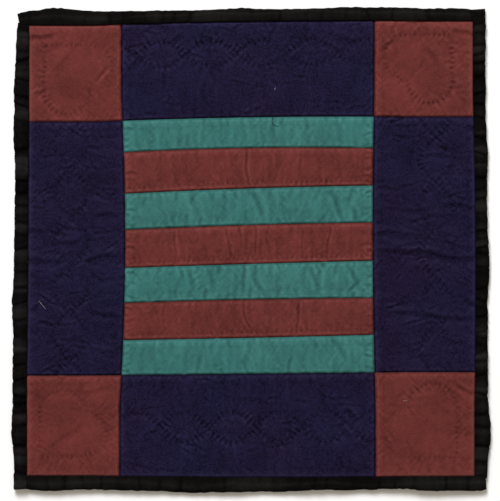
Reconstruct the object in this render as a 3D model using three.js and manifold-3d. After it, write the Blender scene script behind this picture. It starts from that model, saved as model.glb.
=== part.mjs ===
// A small pieced quilt in the Bars layout, lying flat with its face up.
// Seven bars in a square field, four border strips, four corner blocks, batting, a backing cloth
// and four binding strips folded round the edge. Millimetres, +Z up, +X to the quilt's right,
// +Y to its top edge. The origin is under the middle, on the surface that the quilt lies on.

import * as THREE from "three";
import { mergeVertices } from "three/addons/utils/BufferGeometryUtils.js";
import Module from "manifold-3d";

// Driving dimensions.
const BORDER = { left: 85, right: 89.5, top: 87.5, bottom: 92.5 }; // finished widths of the border
const FIELD_WIDTH = 227; // the square field of bars between the side borders
const BAR_HEIGHTS = [28, 36, 32.5, 34.5, 32.5, 34, 32]; // from the top, teal and red in turn
const BINDING_FACE = 12; // how far the binding reaches over the face and over the back
const BINDING_HEM = 5; // the binding's raw edge, turned under
const SEAM_ALLOWANCE = 6.3; // a patch's raw edge, turned under at each pieced seam
const CLOTH = 0.45; // thickness of one layer of washed cotton
const BATTING_LOFT = 3.3; // thickness of the filling in the middle of the quilt

// Clearances between pieces that are sewn against each other.
const GAP = 0.05; // between two layers
const SEAM_GAP = 0.1; // between two pieces side by side
const PAN_GAP = 0.3; // between the binding's fold and the step in the backing

// Overall size, worked out from the pieces.
const FIELD_HEIGHT = BAR_HEIGHTS.reduce((sum, height) => sum + height, 0);
const WIDTH = BORDER.left + FIELD_WIDTH + BORDER.right + 2 * BINDING_FACE;
const HEIGHT = BORDER.top + FIELD_HEIGHT + BORDER.bottom + 2 * BINDING_FACE;

// The layers' undersides, from the surface up. Under the binding the backing steps up by two
// layers of cloth, so that backing and binding lie on the surface together.
const LAYER = CLOTH + GAP;
const RIM_Z = 2 * LAYER;
const BATTING_Z = LAYER;
const BATTING_TOP = BATTING_Z + BATTING_LOFT;
const TOP_Z = BATTING_TOP + GAP;
const BINDING_TOP_Z = TOP_Z + 2 * LAYER;

// The seams of the pieced top, and the raw edge of all layers inside the binding.
const RAW_X = WIDTH / 2 - LAYER;
const RAW_Y = HEIGHT / 2 - LAYER;
const SEAM_X = [BORDER.left, BORDER.left + FIELD_WIDTH].map((x) => x + BINDING_FACE - WIDTH / 2);
const SEAM_Y = [BORDER.bottom, BORDER.bottom + FIELD_HEIGHT].map((y) => y + BINDING_FACE - HEIGHT / 2);
const BAR_EDGES = BAR_HEIGHTS.reduce((edges, height) => [...edges, edges.at(-1) - height], [SEAM_Y[1]]);

const cotton = (color) => new THREE.MeshStandardMaterial({ color, roughness: 0.9, metalness: 0 });
const RED = cotton("#6b3130");
const NAVY = cotton("#241b36");
const TEAL = cotton("#3c7a70");
const BLACK = cotton("#15140f");
const BACKING = cotton("#3a3f4c");
const BATTING = cotton("#e4dcc8");

const wasm = await Module();
wasm.setup();

function toSolid(geometry) {
  geometry.deleteAttribute("normal");
  geometry.deleteAttribute("uv");
  const merged = mergeVertices(geometry);
  const vertProperties = merged.attributes.position.array;
  const triVerts = new Uint32Array(merged.index.array);
  return new wasm.Manifold(new wasm.Mesh({ numProp: 3, vertProperties, triVerts }));
}

function toMesh(name, solid, material) {
  const { vertProperties, triVerts } = solid.getMesh();
  const geometry = new THREE.BufferGeometry();
  geometry.setAttribute("position", new THREE.BufferAttribute(vertProperties, 3));
  geometry.setIndex(new THREE.BufferAttribute(triVerts, 1));
  geometry.computeVertexNormals();
  const mesh = new THREE.Mesh(geometry, material);
  mesh.name = name;
  return mesh;
}

// A rectangular layer between two corners [x, y] and two heights.
function slab([x0, y0], [x1, y1], z0, z1) {
  const box = new THREE.BoxGeometry(x1 - x0, y1 - y0, z1 - z0);
  return toSolid(box.translate((x0 + x1) / 2, (y0 + y1) / 2, (z0 + z1) / 2));
}

// A layer centred on the quilt, as far out as halfX and halfY.
function centredSlab(halfX, halfY, z0, z1) {
  return slab([-halfX, -halfY], [halfX, halfY], z0, z1);
}

const join = (solids) => solids.reduce((whole, solid) => whole.add(solid));

// The turned-under edges of a patch, as rectangles seen from above. The side ones run the patch's
// full height, and the other two lie between them. sides says which edges are seams.
function allowances([x0, y0], [x1, y1], sides) {
  const inner0 = x0 + (sides.left ? SEAM_ALLOWANCE + SEAM_GAP : 0);
  const inner1 = x1 - (sides.right ? SEAM_ALLOWANCE + SEAM_GAP : 0);
  const flaps = {
    left: [[x0, y0], [x0 + SEAM_ALLOWANCE, y1]],
    right: [[x1 - SEAM_ALLOWANCE, y0], [x1, y1]],
    bottom: [[inner0, y0], [inner1, y0 + SEAM_ALLOWANCE]],
    top: [[inner0, y1 - SEAM_ALLOWANCE], [inner1, y1]],
  };
  return Object.keys(flaps).filter((side) => sides[side]).map((side) => ({ side, box: flaps[side] }));
}

// The fold that joins a turned-under edge to the face of its patch.
function fold(side, [[x0, y0], [x1, y1]]) {
  const ends = {
    left: [[x0, y0], [x0 + CLOTH, y1]],
    right: [[x1 - CLOTH, y0], [x1, y1]],
    bottom: [[x0, y0], [x1, y0 + CLOTH]],
    top: [[x0, y1 - CLOTH], [x1, y1]],
  };
  return slab(...ends[side], TOP_Z - LAYER, TOP_Z + CLOTH);
}

// One cloth patch of the pieced top: its face, and each seam edge turned under it.
function patchSolid(low, high, sides) {
  const face = slab(low, high, TOP_Z, TOP_Z + CLOTH);
  const turned = allowances(low, high, sides).flatMap(({ side, box }) => [
    slab(...box, TOP_Z - LAYER, TOP_Z - GAP),
    fold(side, box),
  ]);
  return join([face, ...turned]);
}

// Every patch as { name, material, low, high, sides }: the border round the field, then the bars.
function layOutPatches() {
  const shy = SEAM_GAP / 2; // each patch stops this far short of a seam line
  const columns = [-RAW_X, ...SEAM_X, RAW_X];
  const rows = [-RAW_Y, ...SEAM_Y, RAW_Y];
  const names = [
    ["corner_bottom_left", "border_bottom", "corner_bottom_right"],
    ["border_left", null, "border_right"],
    ["corner_top_left", "border_top", "corner_top_right"],
  ];
  const patches = [];
  names.forEach((row, j) => row.forEach((name, i) => {
    if (!name) return;
    const sides = { left: i > 0, right: i < 2, bottom: j > 0, top: j < 2 };
    const low = [columns[i] + (sides.left ? shy : 0), rows[j] + (sides.bottom ? shy : 0)];
    const high = [columns[i + 1] - (sides.right ? shy : 0), rows[j + 1] - (sides.top ? shy : 0)];
    const material = name.startsWith("corner") ? RED : NAVY;
    patches.push({ name, material, low, high, sides });
  }));
  BAR_HEIGHTS.forEach((_, k) => {
    const isRed = k % 2 === 1;
    patches.push({
      name: `bar_${k + 1}_${isRed ? "red" : "teal"}`,
      material: isRed ? RED : TEAL,
      low: [SEAM_X[0] + shy, BAR_EDGES[k + 1] + shy],
      high: [SEAM_X[1] - shy, BAR_EDGES[k] - shy],
      sides: { left: true, right: true, bottom: true, top: true },
    });
  });
  return patches;
}

// The backing cloth: a shallow pan whose rim steps up to lie inside the binding.
function backingSolid(panX, panY) {
  const rim = centredSlab(RAW_X, RAW_Y, RIM_Z, RIM_Z + CLOTH);
  const pan = centredSlab(panX, panY, 0, RIM_Z + CLOTH);
  const hollow = centredSlab(panX - CLOTH, panY - CLOTH, CLOTH, RIM_Z + 2 * CLOTH);
  return rim.add(pan).subtract(hollow);
}

// The batting: a slab that fills the pan and its rim, pressed in along every seam of the top, where
// the turned-under edges lie.
function battingSolid(panX, panY) {
  const middle = centredSlab(panX - LAYER, panY - LAYER, BATTING_Z, BATTING_TOP);
  const edge = centredSlab(RAW_X, RAW_Y, RIM_Z + LAYER, BATTING_TOP);
  const reach = SEAM_ALLOWANCE + SEAM_GAP; // a groove's half width
  const groove = (x0, x1, y0, y1) =>
    slab([x0 - reach, y0 - reach], [x1 + reach, y1 + reach], BATTING_TOP - LAYER, BATTING_TOP + CLOTH);
  return middle.add(edge).subtract(join([
    ...SEAM_X.map((x) => groove(x, x, -HEIGHT / 2, HEIGHT / 2)),
    ...SEAM_Y.map((y) => groove(-WIDTH / 2, WIDTH / 2, y, y)),
    ...BAR_EDGES.slice(1, -1).map((y) => groove(...SEAM_X, y, y)),
  ]));
}

// One binding strip along +X, its outer fold on the -Y side of a quilt of the given size. It starts
// against the strip before it, and runs over the corner at its other end, which is closed.
function bindingSolid(along, across) {
  const start = -along / 2 + BINDING_FACE + SEAM_GAP;
  const end = along / 2;
  const outer = -across / 2;
  const inner = outer + BINDING_FACE;
  const top = BINDING_TOP_Z + CLOTH;
  const strip = (y0, y1, z0, z1) => slab([start, y0], [end, y1], z0, z1);
  return join([
    strip(outer, inner, 0, CLOTH),
    strip(outer, inner, BINDING_TOP_Z, top),
    strip(outer, outer + CLOTH, 0, top),
    slab([end - CLOTH, outer], [end, inner], 0, top),
    strip(inner - BINDING_HEM, inner, LAYER, LAYER + CLOTH),
    strip(inner - CLOTH, inner, 0, LAYER + CLOTH),
    strip(inner - BINDING_HEM, inner, BINDING_TOP_Z - LAYER, BINDING_TOP_Z - GAP),
    strip(inner - CLOTH, inner, BINDING_TOP_Z - LAYER, top),
  ]);
}

const quilt = new THREE.Group();

for (const { name, material, low, high, sides } of layOutPatches()) {
  quilt.add(toMesh(name, patchSolid(low, high, sides), material));
}

const panX = WIDTH / 2 - BINDING_FACE - PAN_GAP;
const panY = HEIGHT / 2 - BINDING_FACE - PAN_GAP;
quilt.add(toMesh("backing", backingSolid(panX, panY), BACKING));
quilt.add(toMesh("batting", battingSolid(panX, panY), BATTING));

["bottom", "right", "top", "left"].forEach((side, quarter) => {
  const [along, across] = quarter % 2 === 0 ? [WIDTH, HEIGHT] : [HEIGHT, WIDTH];
  const strip = toMesh(`binding_${side}`, bindingSolid(along, across), BLACK);
  strip.rotation.z = (quarter * Math.PI) / 2;
  quilt.add(strip);
});

export default quilt;
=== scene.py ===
"""The looks of a small pieced and hand-quilted cotton quilt in the Bars layout, lying flat and face up.

The CAD model holds the sizes. Every place below is worked out from its nodes, in millimetres until a
mesh is made. The quilt is drawn in the CAD model's straight layout, and on_quilt() then moves each
point to where the softly bowed seams of the real quilt lie.
"""

import bpy
import numpy as np
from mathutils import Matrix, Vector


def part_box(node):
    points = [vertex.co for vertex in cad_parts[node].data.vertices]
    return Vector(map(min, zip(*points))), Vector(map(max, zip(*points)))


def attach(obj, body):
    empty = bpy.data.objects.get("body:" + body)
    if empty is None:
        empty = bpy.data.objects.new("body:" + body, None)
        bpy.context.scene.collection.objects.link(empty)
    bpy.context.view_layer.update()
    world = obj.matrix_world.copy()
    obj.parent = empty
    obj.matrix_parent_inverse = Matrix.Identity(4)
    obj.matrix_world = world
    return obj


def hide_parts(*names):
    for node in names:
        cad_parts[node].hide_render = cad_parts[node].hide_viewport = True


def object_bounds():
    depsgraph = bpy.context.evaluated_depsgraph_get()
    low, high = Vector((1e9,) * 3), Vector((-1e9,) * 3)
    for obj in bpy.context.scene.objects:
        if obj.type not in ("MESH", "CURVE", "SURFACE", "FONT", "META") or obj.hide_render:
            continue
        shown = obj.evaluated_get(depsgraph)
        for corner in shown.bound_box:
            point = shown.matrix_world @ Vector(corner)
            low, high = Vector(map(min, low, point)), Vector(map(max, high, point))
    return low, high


MM = 0.001

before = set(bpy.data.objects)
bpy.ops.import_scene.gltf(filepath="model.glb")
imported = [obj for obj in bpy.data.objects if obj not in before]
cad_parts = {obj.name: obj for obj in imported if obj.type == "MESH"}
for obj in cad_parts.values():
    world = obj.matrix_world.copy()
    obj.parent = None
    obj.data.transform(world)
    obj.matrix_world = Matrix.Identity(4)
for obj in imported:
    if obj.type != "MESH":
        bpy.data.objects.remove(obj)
cad_bounds = [list(corner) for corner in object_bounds()]
rng = np.random.default_rng(1887)

# ---------------- layout, from the CAD nodes

CLOTH = 0.4  # thickness of one layer of cloth
SEAM_ALLOWANCE = 6.3
GRID = 0.85  # spacing of the fine meshes' points
MAP_STEP = 0.5  # spacing of the height maps' points
MAP_MARGIN = 2  # how far the height maps reach past the outline


def corners(node):
    """A CAD node's lowest and highest corners, in millimetres."""
    low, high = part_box(node)
    return np.array(low) / MM, np.array(high) / MM


def seam(node_a, node_b, axis):
    """Where two neighbouring nodes meet: a before b along the axis."""
    return (corners(node_a)[1][axis] + corners(node_b)[0][axis]) / 2


X, Y, Z = 0, 1, 2
LOW, HIGH = (np.array(c) / MM for c in cad_bounds)
BARS = sorted((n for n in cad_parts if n.startswith("bar_")), reverse=True)  # from the bottom
ROWS = ["border_bottom", *BARS, "border_top"]

# The lines that cross the quilt: outer fold, binding's inner fold, seams, and the same again.
X_LINES = np.array([
    LOW[X],
    corners("binding_left")[1][X],
    seam("border_left", BARS[0], X),
    seam(BARS[0], "border_right", X),
    corners("binding_right")[0][X],
    HIGH[X],
])
Y_LINES = np.array([
    LOW[Y],
    corners("binding_bottom")[1][Y],
    *(seam(a, b, Y) for a, b in zip(ROWS, ROWS[1:])),
    corners("binding_top")[0][Y],
    HIGH[Y],
])
FIELD_X = X_LINES[2:4]  # the sides of the field, which the bars fill
FIELD_Y = Y_LINES[[2, -3]]
FACE_Z = corners("border_left")[1][Z]  # the cloth's upper face in the CAD model
BINDING_FACE = X_LINES[1] - X_LINES[0]

# How each of those lines bows on the real quilt: how far it lies off the straight at three places,
# BOW_REACH before its middle, in the middle, and as far after it. Chosen to half a millimetre.
BOW_REACH = 140
X_BOWS = np.array([  # to the right, going up
    (-1.5, 0, 1.5),  # left outline
    (-0.5, 0.5, 1.5),  # left hem
    (-2, 3, -0.5),  # left seam of the bars
    (1.5, -1, 0.5),  # right seam of the bars
    (1, 2, -0.5),  # right hem
    (1, 1, -1),  # right outline
])
Y_BOWS = np.array([  # upwards, going right
    (1, -1.5, 2),  # bottom outline
    (1.5, 0, 1),  # bottom hem
    (-1, 0.5, 2),  # bottom border's seam
    (-1.5, 1, 4.5),  # the six seams between the bars, which lean
    (-2.5, 1.5, 3),
    (-3.5, 1, 4.5),
    (-4, 1.5, 4),
    (-4, 2, 5),
    (-3, 2.5, 1.5),
    (-2, 2, 2.5),  # top border's seam
    (-2.5, 1, 1.5),  # top hem
    (-2, -0.5, 2),  # top outline
])


def spline(values, at):
    """A smooth curve through evenly spaced values (along the last axis), read at positions 0, 1, 2..."""
    last = values.shape[-1] - 1
    at = np.clip(at, 0, last)
    i = np.minimum(at.astype(int), last - 1)
    f = at - i
    p0, p1, p2, p3 = (values[..., np.clip(i + k, 0, last)] for k in (-1, 0, 1, 2))
    rise = (p2 - p0) * f
    bend = (2 * p0 - 5 * p1 + 4 * p2 - p3) * f**2
    turn = (3 * p1 - p0 - 3 * p2 + p3) * f**3
    return p1 + 0.5 * (rise + bend + turn)


def bow(bows, lines, along, across):
    """How far points at (along, across) move: each line's own bow, mixed between lines."""
    before, middle, after = bows.T[:, :, None]
    s = np.clip(along / BOW_REACH, -1, 1)
    offsets = middle + s * (after - before) / 2 + s**2 * ((after + before) / 2 - middle)
    i = np.clip(np.searchsorted(lines, across) - 1, 0, len(lines) - 2)
    f = np.clip((across - lines[i]) / (lines[i + 1] - lines[i]), 0, 1)
    n = np.arange(len(across))
    return offsets[i, n] * (1 - f) + offsets[i + 1, n] * f


def on_quilt(x, y):
    """Where points of the straight layout lie on the real quilt."""
    shape = np.shape(x)
    x, y = np.ravel(x), np.ravel(y)
    moved_x = x + bow(X_BOWS, X_LINES, y, x)
    moved_y = y + bow(Y_BOWS, Y_LINES, x, y)
    return moved_x.reshape(shape), moved_y.reshape(shape)


# ---------------- height maps


class HeightMap:
    """Heights over the whole straight layout, in millimetres, on an even grid."""

    def __init__(self):
        self.xs = np.arange(LOW[X] - MAP_MARGIN, HIGH[X] + MAP_MARGIN + MAP_STEP, MAP_STEP)
        self.ys = np.arange(LOW[Y] - MAP_MARGIN, HIGH[Y] + MAP_MARGIN + MAP_STEP, MAP_STEP)
        self.z = np.zeros((len(self.ys), len(self.xs)))

    def window(self, x0, x1, y0, y1):
        """A slice of the map that holds a box, and its points."""
        i0, i1 = np.searchsorted(self.xs, [x0, x1])
        j0, j1 = np.searchsorted(self.ys, [y0, y1])
        x, y = np.meshgrid(self.xs[i0:i1], self.ys[j0:j1])
        return (slice(j0, j1), slice(i0, i1)), x, y

    def around(self, x, y, reach):
        """The same for a square around a point."""
        return self.window(x - reach, x + reach, y - reach, y + reach)

    def read(self, x, y):
        """The height at any points, mixed from the four nearest."""
        u = np.clip((x - self.xs[0]) / MAP_STEP, 0, len(self.xs) - 1.001)
        v = np.clip((y - self.ys[0]) / MAP_STEP, 0, len(self.ys) - 1.001)
        i, j = u.astype(int), v.astype(int)
        f, g = u - i, v - j
        low = self.z[j, i] * (1 - f) + self.z[j, i + 1] * f
        high = self.z[j + 1, i] * (1 - f) + self.z[j + 1, i + 1] * f
        return low * (1 - g) + high * g


def noise(shape, cell, random):
    """Smooth noise about 0 on a grid: random values every cell points, joined by splines."""
    rows, columns = (int(n / c) + 3 for n, c in zip(shape, cell))
    knots = random.normal(size=(rows, columns))
    wide = spline(knots, np.arange(shape[1]) / cell[1] + random.random())
    return spline(wide.T, np.arange(shape[0]) / cell[0] + random.random()).T


def line_noise(count, cell, random):
    """The same along a line of points."""
    return noise((1, count), (1, cell), random)[0]


def in_steps(*lengths):
    """Lengths in steps of a height map."""
    return [length / MAP_STEP for length in lengths]


def smooth_step(value, start, end):
    """0 at start and before it, 1 at end and after it, and an even curve between. It runs either way."""
    t = np.clip((value - start) / (end - start), 0, 1)
    return t * t * (3 - 2 * t)


# ---------------- quilting: where the stitches lie

STITCH_PITCH = 4.5  # about six stitches to the inch
STITCH_LENGTH = 1.6
PITCH_JITTER = 0.1  # how far a stitch strays along its line, as a part of the pitch
LINE_STRAY = 0.35  # how far a line of quilting strays to its sides
UNEVEN_PULL = 0.6  # how much the stitches' pull varies along a line
LINE_GAP = 2  # how far a line of quilting stops short of a seam
LINE_POINTS = 300  # points of a line before stitches are laid along it


def heart(tip_x, tip_y, side):
    """A heart whose tip points to the quilt's corner: a square with a half circle on two sides."""
    into_x, into_y = -np.sign(tip_x), -np.sign(tip_y)
    turn = np.linspace(0, np.pi, 40)
    r = side / 2
    along = np.linspace(0, side, 30, endpoint=False)
    lobe_a = np.stack([side + r * np.sin(turn), r - r * np.cos(turn)])
    lobe_b = lobe_a[::-1, ::-1]
    edge_a = np.stack([along, 0 * along])
    edge_b = np.stack([0 * along, side - along])
    outline = np.concatenate([edge_a, lobe_a, lobe_b, edge_b], axis=1)
    return tip_x + into_x * outline[0], tip_y + into_y * outline[1]


# Each heart: its tip's distances in from the hems of its corner, its side, and how deep it is quilted.
HEARTS = {
    "corner_top_left": (14, 18, 42, 0.75),
    "corner_top_right": (19, 13, 41, 0.7),
    "corner_bottom_left": (12, 18, 41, 0.6),
    "corner_bottom_right": (16, 17, 44, 0.5),
}
HEART_CLEFT = 0.7  # how deep a heart is quilted between its lobes, as a part of its depth at the tip
# Each cable: its centre line's offset from the border's middle, its swing, a crossing, the pitch, and how
# deep it is quilted at its start, middle and end.
CABLES = {
    "border_top": (9, 12, -58, 45.5, (0.9, 0.9, 0.2)),
    "border_bottom": (4.5, 14, -37, 42, (0.3, 0.9, 0.35)),
    "border_left": (1, 15, 33, 43.5, (0.45, 0.5, 0.35)),
    "border_right": (5, 15, 56.5, 43, (0.35, 0.4, 0.6)),
}
BAR_LINE = 5  # how far over a red bar's lower seam its line of quilting runs
BAR_DEPTHS = (0.32, 0.32, 0.32)


def heart_lines():
    """The heart on each corner block."""
    for corner, (inset_x, inset_y, side, depth) in HEARTS.items():
        left, top = corner.endswith("left"), "top" in corner
        tip_x = X_LINES[1] + inset_x if left else X_LINES[-2] - inset_x
        tip_y = Y_LINES[-2] - inset_y if top else Y_LINES[1] + inset_y
        yield (*heart(tip_x, tip_y, side), (depth, HEART_CLEFT * depth, depth))


def cable_lines():
    """The two strands of each border's cable, which cross at crossing and every pitch from it."""
    for border, (offset, swing, crossing, pitch, depths) in CABLES.items():
        upright = border in ("border_left", "border_right")
        low, high = corners(border)
        axis, field = (X, FIELD_Y) if upright else (Y, FIELD_X)
        along = np.linspace(*(field + [LINE_GAP, -LINE_GAP]), LINE_POINTS)
        for sign in (1, -1):
            wave = sign * swing * np.sin(np.pi * (along - crossing) / pitch)
            across = (low[axis] + high[axis]) / 2 + offset + wave
            yield (across, along, depths) if upright else (along, across, depths)


def bar_lines():
    """The line along each red bar."""
    along = np.linspace(*(FIELD_X + [LINE_GAP, -LINE_GAP]), LINE_POINTS)
    for bar, low in zip(BARS, Y_LINES[2:-3]):
        if bar.endswith("red"):
            yield along, np.full_like(along, low + BAR_LINE), BAR_DEPTHS


def even_points(x, y, pitch):
    """Points a pitch apart along a line, with its direction there."""
    run = np.concatenate([[0], np.cumsum(np.hypot(np.diff(x), np.diff(y)))])
    at = np.arange(pitch / 2, run[-1], pitch)
    at = at + rng.uniform(-PITCH_JITTER, PITCH_JITTER, len(at)) * pitch
    px, py = np.interp(at, run, x), np.interp(at, run, y)
    dx = np.interp(at + 0.5, run, x) - np.interp(at - 0.5, run, x)
    dy = np.interp(at + 0.5, run, y) - np.interp(at - 0.5, run, y)
    size = np.hypot(dx, dy)
    return px, py, dx / size, dy / size


def lay_stitches():
    """Every quilting stitch on the face as rows of x, y, direction x, direction y, depth."""
    rows = []
    for x, y, depths in (*heart_lines(), *cable_lines(), *bar_lines()):
        stray = line_noise(len(x), 25, rng) * LINE_STRAY
        firm = np.clip(1 + UNEVEN_PULL * line_noise(len(x), 28, rng), 0.1, 1.9)
        px, py, dx, dy = even_points(x + stray, y - stray, STITCH_PITCH)
        at = np.linspace(0, 1, len(px))
        pull = np.interp(at, (0, 0.5, 1), depths) * np.interp(at, np.linspace(0, 1, len(firm)), firm)
        rows.append(np.stack([px, py, dx, dy, pull], axis=1))
    return np.concatenate(rows)


STITCHES = lay_stitches()
# What a stitch does to the cloth: depth, half length along its line and half width.
GROOVE = (0.36, 0.9, 1.8)
VALLEY = (0.2, 3.4, 3.0)
STITCH_REACH = 9  # how far around a stitch the cloth is shaped


def hollow(shape, along, across):
    """A rounded hollow of a given depth, half length and half width."""
    depth, length, width = shape
    return depth * np.exp(-((along / length) ** 2) - (across / width) ** 2)


def add_stitches(height):
    """Each stitch pulls the cloth into a short groove across its line, in a broader valley along it."""
    for x, y, dx, dy, depth in STITCHES:
        where, gx, gy = height.around(x, y, STITCH_REACH)
        along = (gx - x) * dx + (gy - y) * dy
        across = (gy - y) * dx - (gx - x) * dy
        pull, side = rng.uniform(0.3, 1.5), rng.uniform(-0.8, 0.8)
        groove = pull * hollow(GROOVE, along, (across - side) / pull)
        height.z[where] -= depth * (groove + hollow(VALLEY, along, across))


# ---------------- the face: a cloth simulation

SIM_STEP = 2.0  # spacing of the simulated cloth's points
SIM_SCALE = 10  # the cloth is simulated this many times its size, where the solver works best
SIM_FRAMES = 24
SIM_SPARE = 0.035  # how much longer the cloth is than the place it is stitched into
SIM_GAIN = 0.15  # the simulated cloth swells more than this thin quilt
SIM_JITTER = 0.05  # uneven heights at the start, so that the cloth can buckle
ON_LINE = 0.51 * SIM_STEP  # a point this close to a line is on it


def held_points(x, y):
    """Which points of the simulated cloth are held: at stitches, along seams and under the binding."""
    held = (x <= X_LINES[1]) | (x >= X_LINES[-2]) | (y <= Y_LINES[1]) | (y >= Y_LINES[-2])
    for line in FIELD_X:
        held |= np.abs(x - line) < ON_LINE
    in_field = (x > FIELD_X[0]) & (x < FIELD_X[1])
    for line in Y_LINES[2:-2]:
        crosses = line in FIELD_Y
        held |= (np.abs(y - line) < ON_LINE) & (in_field | crosses)
    columns = np.rint((STITCHES[:, 0] - x[0, 0]) / SIM_STEP).astype(int)
    rows = np.rint((STITCHES[:, 1] - y[0, 0]) / SIM_STEP).astype(int)
    held[rows, columns] = True
    return held


def add_cloth(piece):
    """Makes a mesh a light cloth that swells between its held points."""
    modifier = piece.modifiers.new("Cloth", "CLOTH")
    settings = modifier.settings
    settings.quality = 5
    settings.mass = 0.2
    settings.tension_stiffness = settings.compression_stiffness = 12
    settings.shear_stiffness = 4
    settings.bending_stiffness = 0.15
    settings.tension_damping = settings.compression_damping = settings.shear_damping = 5
    settings.vertex_group_mass = "held"
    settings.shrink_min = -SIM_SPARE
    settings.use_pressure = True
    settings.uniform_pressure_force = 0.6
    settings.effector_weights.gravity = 0
    modifier.collision_settings.use_collision = False
    modifier.point_cache.frame_end = SIM_FRAMES


def simulate_face():
    """Simulates the quilted face as one cloth, and returns how far its points rose, on their grid."""
    xs = np.arange(LOW[X], HIGH[X] + SIM_STEP, SIM_STEP)
    ys = np.arange(LOW[Y], HIGH[Y] + SIM_STEP, SIM_STEP)
    x, y = np.meshgrid(xs, ys)
    held = held_points(x, y)
    start = np.stack([x, y, rng.normal(0, SIM_JITTER, x.shape)], axis=-1)
    start[held, 2] = 0
    cloth = new_mesh("simulated_face", start.reshape(-1, 3) * SIM_SCALE, grid_faces(*x.shape))
    group = cloth.vertex_groups.new(name="held")
    group.add(np.flatnonzero(held).tolist(), 1.0, "REPLACE")
    add_cloth(cloth)
    for number in range(1, SIM_FRAMES + 1):
        bpy.context.scene.frame_set(number)
    shaped = cloth.evaluated_get(bpy.context.evaluated_depsgraph_get()).data
    end = np.empty(len(shaped.vertices) * 3)
    shaped.vertices.foreach_get("co", end)
    bpy.data.objects.remove(cloth)
    bpy.context.scene.frame_set(1)
    return end.reshape(*x.shape, 3)[..., 2] / (SIM_SCALE * MM) - start[..., 2]


def spread(field, height):
    """A field on the simulated cloth's grid, made finer onto a height map's grid."""
    wide = spline(field, (height.xs - LOW[X]) / SIM_STEP)
    return spline(wide.T, (height.ys - LOW[Y]) / SIM_STEP).T


# ---------------- mesh helpers


def new_mesh(name, points, faces):
    """A smooth mesh object from points in millimetres and faces."""
    mesh = bpy.data.meshes.new(name)
    mesh.from_pydata((np.asarray(points) * MM).tolist(), [], np.asarray(faces).tolist())
    mesh.polygons.foreach_set("use_smooth", [True] * len(mesh.polygons))
    mesh.update()
    piece = bpy.data.objects.new(name, mesh)
    bpy.context.scene.collection.objects.link(piece)
    return piece


def grid_faces(rows, columns, start=0):
    """The quads of a grid of points, counter-clockwise seen from +Z when rows run along +Y."""
    i = np.arange(rows * columns).reshape(rows, columns) + start
    return np.stack([i[:-1, :-1], i[:-1, 1:], i[1:, 1:], i[1:, :-1]], axis=-1).reshape(-1, 4)


def set_ridge(piece, values):
    """How far each point is a ridge, from 0 to 1, for the piece's material."""
    attribute = piece.data.attributes.new("ridge", "FLOAT", "POINT")
    attribute.data.foreach_set("value", np.asarray(values, np.float32).ravel())


# ---------------- folds and hollows of the face

# Folds by patch: where each starts and ends, as parts of the patch's width and height, then its depth
# and width in millimetres. Placed one by one.
FOLDS = {
    "corner_top_left": [
        ((0.05, 0.75), (0.4, 0.8), 0.65, 2.0),
        ((0.88, 0.5), (0.75, 0.35), 0.5, 1.6),
        ((0.15, 0.25), (0.3, 0.3), 0.4, 1.6),
        ((0.35, 0.45), (0.6, 0.65), 0.55, 3.8),
        ((0.1, 0.93), (0.5, 0.9), 0.4, 2.2),
    ],
    "corner_top_right": [
        ((0.7, 0.8), (0.97, 0.7), 0.6, 2.0),
        ((0.2, 0.85), (0.8, 0.9), 0.5, 2.0),
        ((0.45, 0.65), (0.6, 0.45), 0.6, 3.2),
        ((0.5, 0.95), (0.95, 0.88), 0.6, 2.2),
        ((0.05, 0.6), (0.2, 0.7), 0.4, 2.0),
    ],
    "corner_bottom_left": [((0.3, 0.35), (0.7, 0.6), 0.6, 3.8), ((0.6, 0.85), (0.95, 0.9), 0.35, 2.2)],
    "corner_bottom_right": [
        ((0.7, 0.9), (0.97, 0.8), 0.6, 2.0),
        ((0.8, 0.1), (0.95, 0.05), 0.4, 1.6),
        ((0.4, 0.6), (0.75, 0.4), 0.25, 4.2),
    ],
    "border_left": [
        ((0.02, 0.47), (0.42, 0.46), 1.0, 3.2),
        ((0.62, 0.46), (0.98, 0.47), 1.0, 3.2),
        ((0.7, 0.64), (0.95, 0.63), 0.6, 2.6),
        ((0.1, 0.59), (0.3, 0.57), 0.6, 2.6),
        ((0.35, 0.53), (0.6, 0.54), 0.5, 2.4),
        ((0.7, 0.4), (0.95, 0.38), 0.4, 2.2),
        ((0.7, 0.25), (0.95, 0.24), 0.5, 2.2),
        ((0.05, 0.26), (0.25, 0.26), 0.4, 2.2),
        ((0.7, 0.1), (0.95, 0.09), 0.4, 2.2),
    ],
    "border_right": [
        ((0.02, 0.47), (0.45, 0.46), 0.9, 3.2),
        ((0.35, 0.46), (0.98, 0.44), 1.1, 3.2),
        ((0.02, 0.53), (0.4, 0.52), 0.7, 2.6),
        ((0.15, 0.63), (0.5, 0.62), 0.4, 2.2),
        ((0.6, 0.64), (0.95, 0.63), 0.4, 2.2),
        ((0.4, 0.85), (0.7, 0.84), 0.5, 2.2),
        ((0.83, 0.97), (0.97, 0.92), 0.8, 2.6),
        ((0.15, 0.23), (0.95, 0.21), 0.7, 2.6),
        ((0.8, 0.26), (0.95, 0.25), 0.6, 2.2),
    ],
    "border_top": [
        ((0.02, 0.45), (0.1, 0.6), 0.7, 2.6),
        ((0.2, 0.7), (0.25, 0.8), 0.5, 2.6),
        ((0.8, 0.75), (0.95, 0.7), 0.4, 2.6),
        ((0.05, 0.9), (0.35, 0.86), 0.45, 3.2),
        ((0.4, 0.92), (0.7, 0.88), 0.4, 3.2),
        ((0.72, 0.86), (0.9, 0.9), 0.4, 2.6),
    ],
    "border_bottom": [
        ((0.88, 0.7), (0.93, 0.57), 0.8, 2.6),
        ((0.45, 0.8), (0.6, 0.75), 0.3, 2.4),
    ],
}
FOLD_CREST = 0.22  # the crest beside a fold, as a part of the fold's depth
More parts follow.
